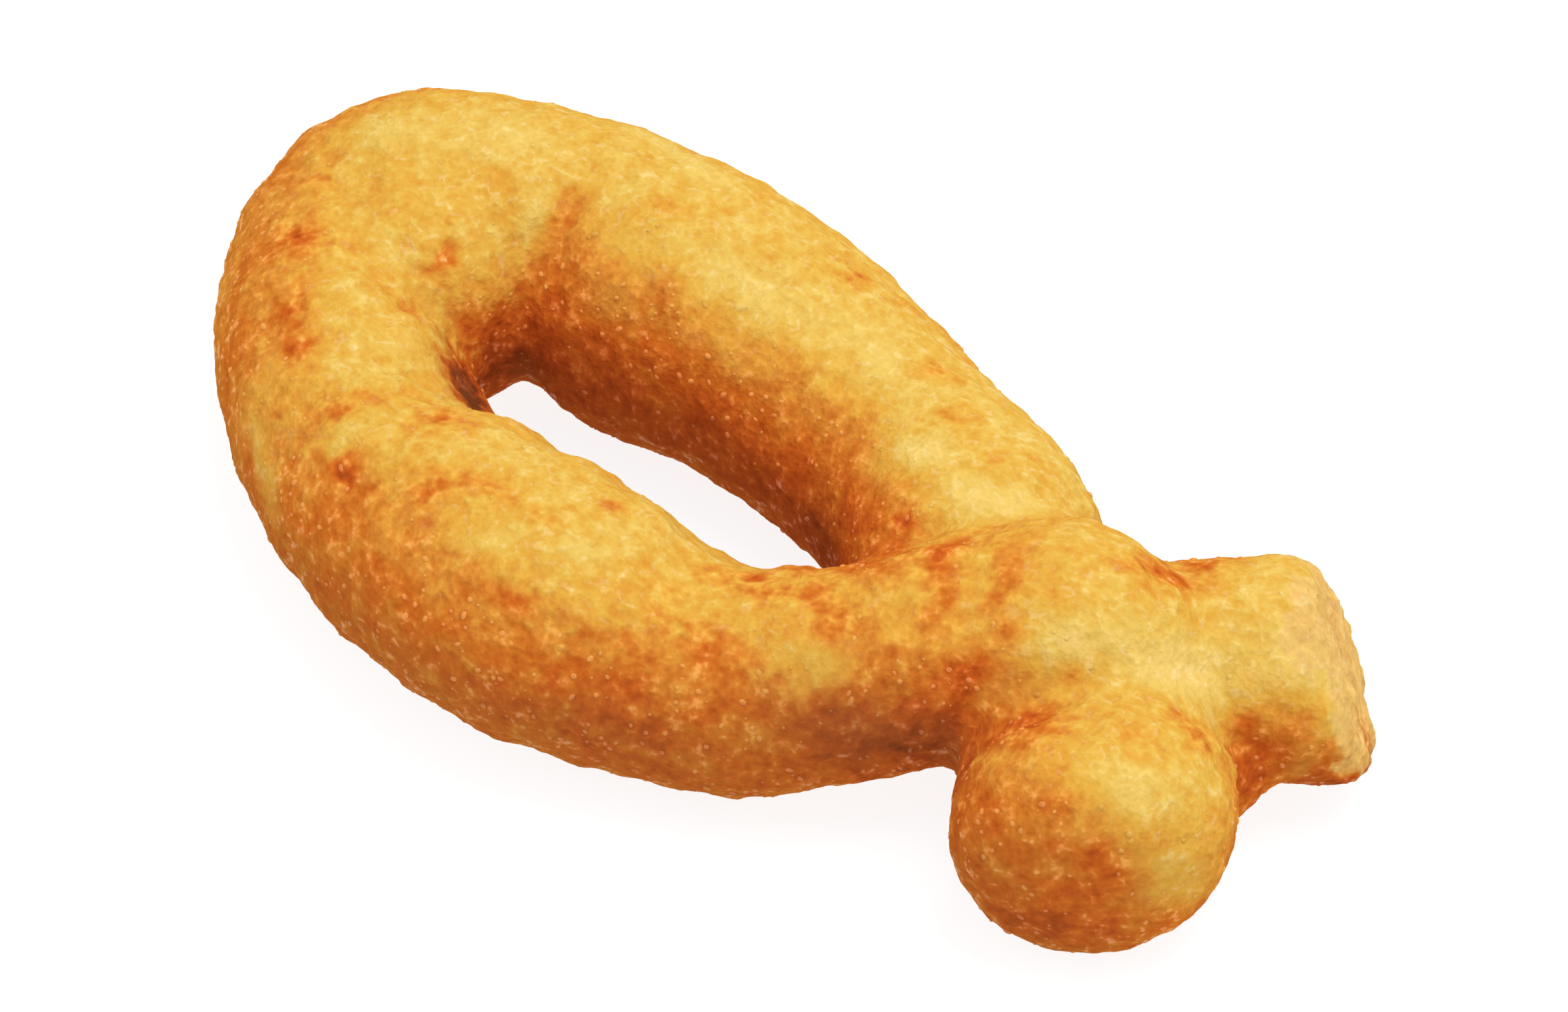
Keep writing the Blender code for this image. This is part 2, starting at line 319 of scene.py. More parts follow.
MARKS = (
    # browner patches
    Mark("bend_top_blush", (-44.5, -4.0, 22.6), (3.4, 2.4), 37, 0.42),
    Mark("bend_blush", (-39.0, -12.0, 22.0), (3.0, 1.6), 120, 0.50),
    Mark("bend_blush_low", (-36.0, -14.0, 22.2), (3.0, 1.4), 60, 0.28),
    Mark("lobe_pit", (-33.8, 1.8, 21.9), (1.5, 0.7), 90, 0.55, -0.35),
    Mark("lobe_fleck", (-35.5, 4.4, 23.0), (0.6, 0.5), 0, 0.4, -0.12),
    # painted shade: the next four darken the lobe's shaded flank and the fold's pit with toast
    Mark("lobe_shade", (-33.6, -3.0, 20.6), (3.0, 1.5), 120, 0.20),
    Mark("pit_wall", (-29.4, 0.2, 15.0), (4.6, 3.0), 90, 0.46),
    Mark("fold_low", (-28.4, 2.6, 12.0), (4.0, 3.4), 100, 0.14),
    Mark("pit_mouth", (-25.2, -4.8, 16.0), (4.6, 2.8), 127, 0.62, -0.7),
    Mark("below_tip", (-20.3, -15.0, 22.7), (2.8, 1.8), 37, 0.42),
    Mark("fold_top", (-27.4, 12.0, 23.5), (2.4, 0.9), 101, 0.26),
    Mark("fold_middle", (-28.0, 6.5, 18.5), (3.6, 1.5), 101, 0.12),
    Mark("bend_toast", (-24.1, -23.3, 20.8), (1.9, 1.4), 20, 0.52, -0.15),
    Mark("bend_toast_left", (-27.3, -22.4, 20.0), (1.4, 1.1), 60, 0.24),
    Mark("bend_fleck", (-30.8, -23.2, 18.0), (1.2, 0.8), 0, 0.24),
    Mark("shoulder_blush", (-15.0, -21.3, 23.6), (3.2, 1.6), 20, 0.42),
    Mark("shoulder_blush_low", (-20.5, -24.0, 21.3), (2.2, 1.3), 37, 0.14),
    Mark("bend_under_blush", (-28.0, -17.3, 22.4), (4.4, 1.3), 37, 0.34),
    Mark("near_top_blush", (-4.0, -26.8, 20.8), (3.4, 1.6), 0, 0.24),
    Mark("shoulder_blush_right", (-9.5, -20.3, 24.0), (2.2, 1.3), 10, 0.24),
    Mark("shoulder_blush_end", (-5.0, -19.0, 24.0), (2.2, 1.1), 30, 0.34),
    Mark("inner_smudge", (-1.7, -14.3, 22.8), (1.3, 1.0), 60, 0.34),
    Mark("near_dark", (10.2, -20.0, 19.0), (5.2, 2.4), 5, 0.46),
    Mark("near_dark_left", (1.5, -25.6, 20.4), (4.6, 1.6), -20, 0.08),
    Mark("near_smudge", (7.8, -16.8, 20.8), (2.8, 1.4), 20, 0.28),
    Mark("far_smudge", (10.0, 16.0, 22.0), (2.2, 1.2), 0, 0.32),
    # painted shade: the bottom of the fold's pit, darkened with toast
    Mark("pit_bottom", (-24.0, -6.0, 16.8), (3.0, 2.4), -18, 0.80),
    Mark("near_neck_edge", (10.2, -12.4, 20.0), (3.4, 1.6), 20, 0.54),
    Mark("near_neck_edge_right", (15.4, -11.8, 20.0), (3.4, 1.3), 20, 0.36),
    Mark("near_neck_spot", (20.5, -11.6, 20.8), (2.6, 1.8), 20, 0.52),
    Mark("near_flank", (7.0, -26.0, 14.5), (10.0, 3.6), 10, 0.20),
    # painted shade: the next three darken the near arm's low flank, its neck and the hollow where it meets the blunt
    # end, with toast
    Mark("near_low", (15.0, -22.0, 9.0), (10.0, 4.0), 10, 0.04),
    Mark("neck_flank", (25.0, -15.5, 15.5), (9.0, 4.0), 5, 0.14),
    Mark("armpit", (29.5, -13.0, 12.0), (5.0, 5.0), 0, 0.28),
    Mark("inner_spot", (18.0, 1.6, 20.6), (1.9, 1.3), -20, 0.46),
    Mark("crossing_left", (24.5, -3.2, 23.4), (3.2, 2.4), 60, 0.44),
    Mark("crossing_left_low", (27.6, -7.0, 23.2), (3.0, 1.8), 120, 0.40),
    Mark("crossing_band", (31.4, -2.8, 25.0), (3.8, 1.2), 110, 0.32),
    Mark("crossing_dimple", (36.4, -2.4, 25.5), (0.8, 0.6), 0, 0.30, -0.2),
    Mark("notch", (41.3, 7.7, 23.0), (3.6, 2.1), 60, 0.55, -0.3),
    Mark("notch_front", (43.6, 6.2, 23.4), (2.8, 1.2), 20, 0.14),
    Mark("notch_far", (40.8, 12.6, 19.4), (2.6, 1.3), 80, 0.45),
    Mark("low_fold", (39.8, -10.8, 19.9), (3.0, 1.7), 50, 0.42),
    Mark("low_fold_spot", (41.2, -6.6, 21.8), (1.5, 1.1), 37, 0.20),
    Mark("low_fold_left", (35.5, -12.6, 18.0), (2.4, 1.8), 37, 0.12),
    Mark("web_top", (51.2, -3.0, 19.2), (3.4, 2.8), 20, 0.56),
    Mark("web", (54.0, 1.0, 12.0), (3.4, 2.4), 70, 0.46),
    Mark("web_low", (53.4, 3.6, 8.4), (3.0, 3.0), 70, 0.30),
    Mark("bulb_neck_fleck", (48.2, -8.6, 22.0), (1.6, 0.8), 37, 0.18),
    Mark("bulb_toast", (51.3, -17.2, 15.6), (2.2, 1.7), 40, 0.30),
    Mark("bulb_toast_low", (49.7, -18.6, 12.2), (1.8, 1.2), 40, 0.16),
    Mark("bulb_foot", (46.0, -19.2, 6.5), (7.5, 3.0), 37, 0.26),
    Mark("far_edge_blush", (-3.1, 22.8, 21.9), (2.6, 0.9), -10, 0.30),
    Mark("far_edge_blush_low", (1.6, 24.2, 19.7), (2.0, 0.8), -15, 0.28),
    Mark("far_edge_blush_end", (9.8, 17.4, 21.2), (2.6, 1.0), 20, 0.22),
    Mark("far_end_fleck", (20.9, 9.9, 22.8), (1.0, 0.8), 0, 0.28, -0.1),
    Mark("far_end_blush", (14.6, 12.2, 22.2), (2.2, 1.6), 0, 0.28),
    Mark("inner_blush", (-14.0, 9.0, 21.4), (2.2, 1.5), 0, 0.24),
    Mark("bulb_shoulder", (42.4, -12.4, 20.6), (2.4, 1.5), 60, 0.22),
    Mark("far_top_blush", (-19.8, 16.3, 25.6), (1.8, 1.2), 0, 0.18),
    Mark("bend_left_blush", (-48.6, 4.0, 22.6), (3.4, 1.5), 110, 0.24),
    Mark("neck_blush", (18.0, -6.0, 20.5), (6.0, 3.0), 20, 0.24),
    Mark("neck_back_blush", (28.0, -12.5, 21.0), (4.0, 2.0), 20, 0.20),
    Mark("inner_foot", (7.0, 2.6, 11.0), (5.0, 4.0), -30, 0.20),
    Mark("far_edge_spot", (-2.6, 21.0, 22.6), (1.8, 1.2), -10, 0.26),
    Mark("crossing_far", (39.0, 4.0, 25.0), (2.4, 1.4), 37, 0.18),
    Mark("crossing_step", (33.5, -6.4, 24.2), (2.2, 1.2), 110, 0.18),
    Mark("lobe_smudge", (-41.0, -4.0, 23.0), (2.2, 1.3), 60, 0.16),
    Mark("neck_spot", (32.0, -10.0, 19.5), (2.0, 1.4), 37, 0.52),
    Mark("web_face", (51.6, 3.8, 13.2), (1.8, 1.6), 70, 0.42),
    Mark("far_crest_blush", (-15.5, 20.0, 25.0), (2.2, 1.2), 0, 0.20),
    Mark("near_line", (6.0, -24.0, 19.0), (2.4, 1.0), 0, 0.20),
    Mark("bulb_top_fleck", (51.0, -10.0, 22.0), (1.8, 1.2), 37, 0.18),
    Mark("bulb_left_fleck", (48.0, -17.0, 21.0), (2.0, 1.4), 37, 0.16),
    Mark("lobe_blush", (-34.0, 5.0, 23.0), (2.0, 1.2), 0, 0.16),
    # painted shade in the hollows
    Mark("neck_shade", (25.5, -15.8, 14.5), (8.5, 4.0), 12, 0.14, 0.0, 1.60),
    Mark("near_shade", (9.0, -26.5, 13.0), (10.0, 3.5), 10, 0.04, 0.0, 0.70),
    Mark("inner_foot_shade", (10.0, 2.0, 12.0), (5.0, 4.0), -30, 0.0, 0.0, 0.80),
    Mark("pit_ridge", (-24.5, -5.8, 16.8), (4.4, 2.8), -18, 0.46, 0.0, 1.60),
    Mark("fold_shade", (-29.0, 4.0, 9.0), (4.0, 4.0), 100, 0.10, 0.0, 0.80),
    # paler patches
    Mark("pale_cut_foot", (56.0, 6.8, 8.4), (2.6, 2.0), 70, -0.30),
    Mark("pale_crossing_low", (39.0, -7.0, 21.6), (3.4, 1.6), 37, -0.22),
    Mark("pale_bend_low", (-38.3, -17.0, 20.0), (2.4, 1.8), 100, -0.20),
    Mark("pale_left_low", (-40.0, -20.0, 15.0), (3.0, 2.5), 100, -0.16),
    Mark("pale_near_low", (19.5, -21.0, 14.5), (3.0, 1.8), 10, -0.14),
    Mark("pale_bend_top", (-47.3, 8.0, 24.3), (4.4, 3.0), 37, -0.25),
    Mark("pale_far_left", (-24.2, 14.6, 25.1), (3.4, 1.6), 60, -0.16),
    Mark("pale_far_shoulder", (-19.0, 7.2, 20.4), (4.0, 2.2), 37, -0.24),
    Mark("pale_far", (-8.0, 13.6, 24.2), (6.4, 2.6), 0, -0.24),
    Mark("pale_far_low", (14.6, 7.2, 21.8), (3.8, 2.0), 0, -0.44),
    Mark("pale_far_end", (23.5, 5.8, 22.5), (4.6, 2.2), 20, -0.32),
    Mark("pale_crossing", (39.0, -4.6, 23.6), (5.0, 2.4), 30, -0.46),
    Mark("pale_crossing_right", (46.4, 1.2, 20.4), (4.6, 2.6), 37, -0.40),
    Mark("pale_cut_end", (51.8, 6.6, 17.0), (5.0, 4.0), 60, -0.38),
    Mark("pale_cut_rim", (57.2, 8.6, 13.0), (2.4, 1.6), 124, -0.26),
    Mark("cut_rim", (58.0, 14.6, 7.0), (2.0, 4.5), 124, 0.42),
    Mark("cut_top_rim", (51.5, 17.4, 15.5), (2.0, 3.0), 124, 0.22),
    Mark("cut_foot", (58.0, 8.4, 6.5), (5.0, 2.4), 124, 0.36),
    Mark("pale_bulb", (56.8, -11.8, 11.0), (3.8, 2.8), 100, -0.42),
    Mark("pale_bulb_side", (55.6, -13.2, 15.0), (3.0, 2.4), 100, -0.34),
    Mark("pale_bulb_top", (51.8, -14.4, 19.6), (3.4, 2.8), 0, -0.26),
    Mark("pale_left_rim", (-33.8, -22.6, 15.5), (5.4, 2.6), 100, -0.46),
    Mark("pale_left_top", (-32.6, -20.4, 19.8), (2.4, 1.6), 100, -0.26),
    Mark("pale_far_crown", (-20.5, 11.8, 23.8), (3.2, 2.0), 0, -0.22),
    Mark("pale_far_crest", (-23.0, 23.0, 24.0), (10.0, 2.0), -20, -0.22),
    Mark("pale_far_brow", (-7.0, 8.8, 19.8), (4.6, 1.6), -10, -0.20),
    Mark("pale_inner_end", (11.4, 5.0, 19.6), (2.6, 1.6), -20, -0.22),
    Mark("pale_shoulder", (-7.5, -24.2, 22.9), (2.6, 1.4), 10, -0.18),
    Mark("pale_near", (-0.6, -20.4, 23.1), (2.6, 1.4), 20, -0.18),
    Mark("pale_near_right", (7.2, -21.6, 20.0), (2.4, 1.3), 20, -0.26),
    Mark("pale_left_side", (-53.0, -5.0, 14.0), (14.0, 5.0), 90, -0.22),
    Mark("pale_far_bump", (11.0, 11.0, 22.0), (2.4, 1.6), 0, -0.20),
    Mark("pale_neck", (21.6, -16.6, 19.3), (3.2, 1.8), 10, -0.34),
    Mark("pale_bend_far", (-37.0, 15.0, 25.6), (6.0, 2.8), 20, -0.22),
    Mark("pale_bend_near", (-26.6, -21.4, 21.2), (2.4, 1.5), 60, -0.42),
    Mark("pale_fold_head", (-29.6, 10.4, 22.6), (3.0, 1.8), 101, -0.34),
    Mark("pale_far_right", (6.0, 15.0, 22.6), (6.0, 2.2), -10, -0.22),
    # scallops along the loop's hole
    Mark("scallop_left", (-15.5, -9.8, 20.5), (2.4, 3.0), 10, 0.0, 0.75),
    Mark("scallop_middle", (-7.5, -10.8, 20.0), (2.6, 3.0), 10, 0.0, 0.85),
    Mark("scallop_right", (0.8, -12.2, 20.0), (2.2, 2.6), 10, 0.0, 0.60),
)

CREASES = (
    Crease(
        "bend_fold",
        ((-28.6, 1.6, 5.0), (-28.4, 2.6, 12.0), (-28.0, 6.9, 18.8), (-27.4, 12.4, 23.5)),
        1.4, 0.4, 0.1, 0.05,
    ),
    Crease(
        "crossing_fold",
        ((14.5, -5.5, 17.0), (20.0, 0.5, 20.5), (26.0, 4.5, 22.5), (32.0, 9.5, 23.0), (37.0, 11.0, 21.5)),
        1.0, 0.30, 0.1, 0.04,
    ),
    Crease(
        "lower_fold",
        ((35.0, -14.0, 16.0), (37.6, -12.2, 18.2), (40.0, -10.6, 19.8)),
        1.2, 0.30, 0.1, 0.04,
    ),
    Crease("web_fold", ((49.5, -2.0, 19.0), (51.5, 2.0, 15.0), (53.5, 4.7, 10.0)), 1.3, 0.3, 0.1, 0.0),
    Crease("lobe_wrinkle", ((-37.0, -3.5, 22.5), (-34.0, -4.5, 22.0), (-31.5, -4.0, 19.5)), 0.6, 0.22, 0.1, 0.1),
    Crease("bend_wrinkle", ((-31.5, -12.5, 22.5), (-28.0, -12.0, 22.5), (-25.0, -10.0, 20.5)), 0.6, 0.25, 0.1, 0.1),
    Crease("tip_wrinkle", ((-26.0, -13.5, 22.5), (-22.5, -12.0, 22.0), (-19.5, -10.0, 20.8)), 0.6, 0.25, 0.1, 0.1),
)


class Skin:
    """The crust's points and outward directions while it is shaped, in metres."""

    def __init__(self, mesh: bpy.types.Mesh) -> None:
        """Reads a mesh's points, directions and edges."""
        count = len(mesh.vertices)
        self.points = np.empty(count * 3)
        mesh.vertices.foreach_get("co", self.points)
        self.points = self.points.reshape(-1, 3)
        self.out = np.empty(count * 3)
        mesh.vertices.foreach_get("normal", self.out)
        self.out = self.out.reshape(-1, 3)
        edges = np.empty(len(mesh.edges) * 2, np.int64)
        mesh.edges.foreach_get("vertices", edges)
        self.edges = edges.reshape(-1, 2)
        self.degree = np.bincount(self.edges.ravel(), minlength=count)[:, None]
        self.tree = BVHTree.FromPolygons(
            [Vector(point) for point in self.points],
            [tuple(polygon.vertices) for polygon in mesh.polygons],
        )
        self.wavered = self.points + self.waver(3.2 * MM, 1.1 * MM) + self.waver(1.1 * MM, 0.45 * MM)
        self.crinkled = self.points + self.waver(2.4 * MM, 0.5 * MM)

    def waver(self, size: float, reach: float) -> np.ndarray:
        """A small step per point, in a direction that changes smoothly from place to place.

        Args:
            size: Over how many metres it changes.
            reach: About how long the longest steps are.

        Returns:
            One row per point.
        """
        return np.array([noise.noise_vector(Vector(point) / size) for point in self.points]) * reach

    def spread(self, values: np.ndarray, rounds: int) -> np.ndarray:
        """Values per point, averaged with their neighbours' a number of times.

        Args:
            values: One row per point.
            rounds: How often it is done.

        Returns:
            The smoother values.
        """
        count = len(self.points)
        first, second = self.edges[:, 0], self.edges[:, 1]
        for _ in range(rounds):
            total = np.empty_like(values)
            for column in range(values.shape[1]):
                total[:, column] = np.bincount(first, values[second, column], count)
                total[:, column] += np.bincount(second, values[first, column], count)
            values = 0.5 * values + 0.5 * total / self.degree
        return values

    def nearest(self, at: Point) -> tuple[np.ndarray, np.ndarray]:
        """The skin's point next to a place in millimetres, and the direction out of it."""
        point, out, _, _ = self.tree.find_nearest(Vector(at) * MM)
        return np.array(point), np.array(out)

    def patch(self, mark: Mark) -> np.ndarray:
        """How strongly each point belongs to a mark, from 0 to 1."""
        centre, out = self.nearest(mark.at)
        turn = math.radians(mark.turn)
        along = np.array((math.cos(turn), math.sin(turn), 0.0))
        along -= out * along.dot(out)
        along /= np.linalg.norm(along)
        across = np.cross(out, along)
        gap = self.wavered - centre
        far = (gap @ along / (mark.reach[0] * MM)) ** 2
        far += (gap @ across / (mark.reach[1] * MM)) ** 2
        far += (gap @ out / (max(mark.reach) * MM)) ** 2
        return np.exp(-far)

    def beside(self, crease: Crease) -> np.ndarray:
        """Each point's distance from a crease's path, in its widths."""
        knots = [self.nearest(at)[0] for at in crease.path]
        far = np.full(len(self.points), np.inf)
        for start, end in zip(knots, knots[1:]):
            run = end - start
            share = np.clip((self.crinkled - start) @ run / run.dot(run), 0.0, 1.0)
            foot = start + share[:, None] * run
            far = np.minimum(far, np.linalg.norm(self.crinkled - foot, axis=1))
        return far / (crease.width * MM)


def carried(mesh: bpy.types.Mesh, trait: Trait, values: np.ndarray) -> None:
    """Stores one number per point on a mesh, under the trait's name."""
    attribute = mesh.attributes.new(trait.value, "FLOAT", "POINT")
    attribute.data.foreach_set("value", values.astype(np.float32))


def plain_mesh(thing: bpy.types.Object, name: str) -> bpy.types.Mesh:
    """The mesh that an object's modifiers make, as a mesh of its own."""
    graph = bpy.context.evaluated_depsgraph_get()
    mesh = bpy.data.meshes.new_from_object(thing.evaluated_get(graph))
    mesh.name = name
    return mesh


def placed(name: str, mesh: bpy.types.Mesh) -> bpy.types.Object:
    """A new object with that mesh, in the scene."""
    thing = bpy.data.objects.new(name, mesh)
    bpy.context.scene.collection.objects.link(thing)
    return thing


class Recipe:
    """A Geometry Nodes tree with named inputs, and the modifier that runs it."""

    def __init__(self, name: str, sizes: Mapping[str, float | int]) -> None:
        """Makes the tree and its inputs.

        Args:
            name: The tree's name.
            sizes: Its inputs by name, in metres, or whole numbers for seeds and counts.
        """
        self.sizes = dict(sizes)
        tree = bpy.data.node_groups.new(name, "GeometryNodeTree")
        self.graph = Graph(tree)
        tree.interface.new_socket("Geometry", in_out="INPUT", socket_type="NodeSocketGeometry")
        tree.interface.new_socket("Geometry", in_out="OUTPUT", socket_type="NodeSocketGeometry")
        self.keys = {}
        for size, value in sizes.items():
            kind = "NodeSocketInt" if isinstance(value, int) else "NodeSocketFloat"
            socket = tree.interface.new_socket(size, in_out="INPUT", socket_type=kind)
            self.keys[size] = socket.identifier
        self.start = self.graph.add("NodeGroupInput")
        self.mesh = self.start.outputs["Geometry"]
        self.place = self.graph.add("GeometryNodeInputPosition").outputs[0]
        self.normal = self.graph.add("GeometryNodeInputNormal").outputs[0]

    def size(self, name: str) -> Value:
        """One of the tree's inputs."""
        return Value(self.graph, self.start.outputs[name])

    def trait(self, trait: Trait) -> Value:
        """A number that the points carry."""
        node = self.graph.add(
            "GeometryNodeInputNamedAttribute", {"data_type": "FLOAT"}, {"Name": trait.value}
        )
        return Value(self.graph, node.outputs["Attribute"])

    def store(self, mesh: bpy.types.NodeSocket, trait: Trait, value: Value, domain: str = "POINT") -> bpy.types.NodeSocket:
        """The mesh with a number stored on it under the trait's name."""
        node = self.graph.add(
            "GeometryNodeStoreNamedAttribute",
            {"data_type": "FLOAT", "domain": domain},
            {"Geometry": mesh, "Name": trait.value, "Value": value},
        )
        return node.outputs["Geometry"]

    def finish(self, mesh: bpy.types.NodeSocket, material: bpy.types.Material) -> None:
        """Ends the tree: its instances become real, and it gets its material."""
        real = self.graph.add("GeometryNodeRealizeInstances", None, {"Geometry": mesh})
        smooth = self.graph.add("GeometryNodeSetShadeSmooth", None, {"Geometry": real.outputs[0]})
        dressed = self.graph.add(
            "GeometryNodeSetMaterial", None, {"Geometry": smooth.outputs[0], "Material": material}
        )
        self.graph.add("NodeGroupOutput", None, {"Geometry": dressed.outputs[0]})

    def run(self, thing: bpy.types.Object) -> bpy.types.Mesh:
        """Runs the tree on an object and returns the plain mesh it makes."""
        modifier = thing.modifiers.new(self.graph.tree.name, "NODES")
        modifier.node_group = self.graph.tree
        for name, key in self.keys.items():
            modifier[key] = self.sizes[name]
        mesh = plain_mesh(thing, thing.name)
        thing.modifiers.remove(modifier)
        return mesh


@dataclass(frozen=True)
class CrustFinish:
    """The fried crust's finish: gold on top, browner on its sides, in folds and in toasted patches, with painted
    shade towards its underside and in its hollows, and painted glints.
    """

    name: str = "golden_crust"
    tones: tuple[tuple[float, Colour], ...] = (
        (-0.30, (0.72, 0.51, 0.150)),
        (0.00, (0.62, 0.41, 0.086)),
        (0.18, (0.60, 0.335, 0.049)),
        (0.36, (0.59, 0.272, 0.036)),
        (0.52, (0.565, 0.205, 0.028)),
        (0.68, (0.525, 0.145, 0.017)),
        (0.84, (0.50, 0.106, 0.013)),
        (1.00, (0.43, 0.077, 0.011)),
        (1.40, (0.22, 0.037, 0.007)),
        (1.80, (0.08, 0.015, 0.005)),
    )
    crumb: Colour = (0.64, 0.40, 0.125)
    glint_colour: Colour = (0.15, 0.085, 0.035)  # what a full painted glint adds to the colour under it
    cream: Colour = (0.04, 0.06, 0.06)  # what a full flake adds to pale skin
    # the colour of the painted shade
    under: Colour = (0.20, 0.062, 0.020)
    cloud: float = 10.0 * MM
    blotch: float = 3.4 * MM
    mottle: float = 1.3 * MM
    grain: float = 0.5 * MM
    flake: float = 1.0 * MM
    dot_gap: float = 1.6 * MM
    roughness: float = 0.46
    glint: float = 0.9  # painted glints: how strong the pale specks on raised spots are on brown skin
    glint_from: float = 0.08  # how far a place is raised where its painted glint begins
    hollow_shade: float = 0.50  # painted shade: how much darker the skin's small hollows are painted than its rounds
    shading: float = 0.36  # painted shade: how much darker the skin is painted towards its underside and in its shaded hollows
    gleam: float = 0.0  # of the oil on its smallest rounds
    lightening: float = 0.0  # how much lighter a blister is than the skin under it

    def build(self) -> bpy.types.Material:
        """Makes the material."""
        material = bpy.data.materials.new(self.name)
        material.use_nodes = True
        graph = Graph(material.node_tree)
        place = graph.add("ShaderNodeTexCoord").outputs["Object"]

        def carried_value(trait: Trait) -> Value:
            """A number that the skin's points carry."""
            node = graph.add("ShaderNodeAttribute", {"attribute_name": trait.value})
            return Value(graph, node.outputs["Fac"])

        browning_and_shade = carried_value(Trait.BROWNING_AND_SHADE)
        toast = carried_value(Trait.TOAST)
        cut = carried_value(Trait.CUT)
        relief = carried_value(Trait.RELIEF)
        shade = carried_value(Trait.SHADE)
        cloud = graph.noise(place, self.cloud, 2.0, 0.3)
        blotch = graph.noise(place, self.blotch, 2.0, 0.3)
        mottle = graph.noise(graph.moved(place, (0.3, 0.1, 0.2)), self.mottle, 1.5, 0.0)
        grain = graph.noise(graph.moved(place, (0.7, 0.4, 0.9)), self.grain, 1.0, 0.0)
        flake = graph.noise(graph.moved(place, (0.5, 0.9, 0.4)), self.flake, 2.0, 0.8).eased(0.06, 0.2)
        dots = graph.dots(graph.moved(place, graph.scaled(place, mottle * 0.01)), self.dot_gap, 0.36, 0.5)

        raised = mottle + grain * 0.55
        patch = toast * (1.0 + blotch * 1.4 - mottle * 1.4)
        brown = (browning_and_shade + toast).eased(0.1, 0.6)
        tone = browning_and_shade + patch + cloud * 0.25 + blotch * (brown * 0.2 + 0.4) - raised * (0.5 - brown * 0.15)
        tone = tone - relief * 0.10 - dots * 0.12 - self.lightening
        palest, deepest = self.tones[0][0], self.tones[-1][0]
        stops = [((tone_there - palest) / (deepest - palest), shade) for tone_there, shade in self.tones]
        ramp = graph.add(
            "ShaderNodeValToRGB", {"stops": stops}, {"Fac": ((tone - palest) / (deepest - palest)).clipped()}
        ).outputs["Color"]
        edge = (cut + blotch * 0.5 + mottle * 0.5 - toast * 0.8).eased(0.2, 0.9)
        colour = graph.mixed(edge * 0.8, ramp, opaque(self.crumb))
        # painted shade: the small hollows darker, the rounds lighter
        colour = graph.scaled(colour, 1.0 + raised * (brown * 0.75 + 0.25 + cut * 0.5) * self.hollow_shade)
        colour = graph.mixed(flake * (1.0 - brown), colour, opaque(self.cream), "ADD")
        # painted glints: pale specks on the raised spots of brown skin
        glint = raised.eased(self.glint_from, self.glint_from + 0.25) * tone.eased(0.2, 0.65) * self.glint
        colour = graph.mixed(glint, colour, opaque(self.glint_colour), "ADD")
        # painted shade mixed into the colour
        colour = graph.mixed((shade * self.shading).clipped(), colour, opaque(self.under))

        height = raised * 0.8 + dots * 0.15
        bump = graph.add(
            "ShaderNodeBump", None, {"Height": height, "Distance": 0.5 * MM, "Strength": 0.7}
        )
        gloss = (self.roughness + mottle * 0.25 + grain * 0.2 + cut * 0.15).clipped()
        shader = graph.add(
            "ShaderNodeBsdfPrincipled",
            None,
            {
                "Base Color": colour,
                "Roughness": gloss,
                "Normal": bump.outputs["Normal"],
                "Coat Weight": (raised.eased(0.12, 0.35) * 0.5 + self.gleam).clipped(),
                "Coat Roughness": 0.18,
                "Specular IOR Level": 0.0,
                "Subsurface Weight": 0.06,
                "Subsurface Radius": (1.0, 0.35, 0.1),
                "Subsurface Scale": 0.8 * MM,
            },
        )
        graph.add("ShaderNodeOutputMaterial", None, {"Surface": shader.outputs["BSDF"]})
        return material


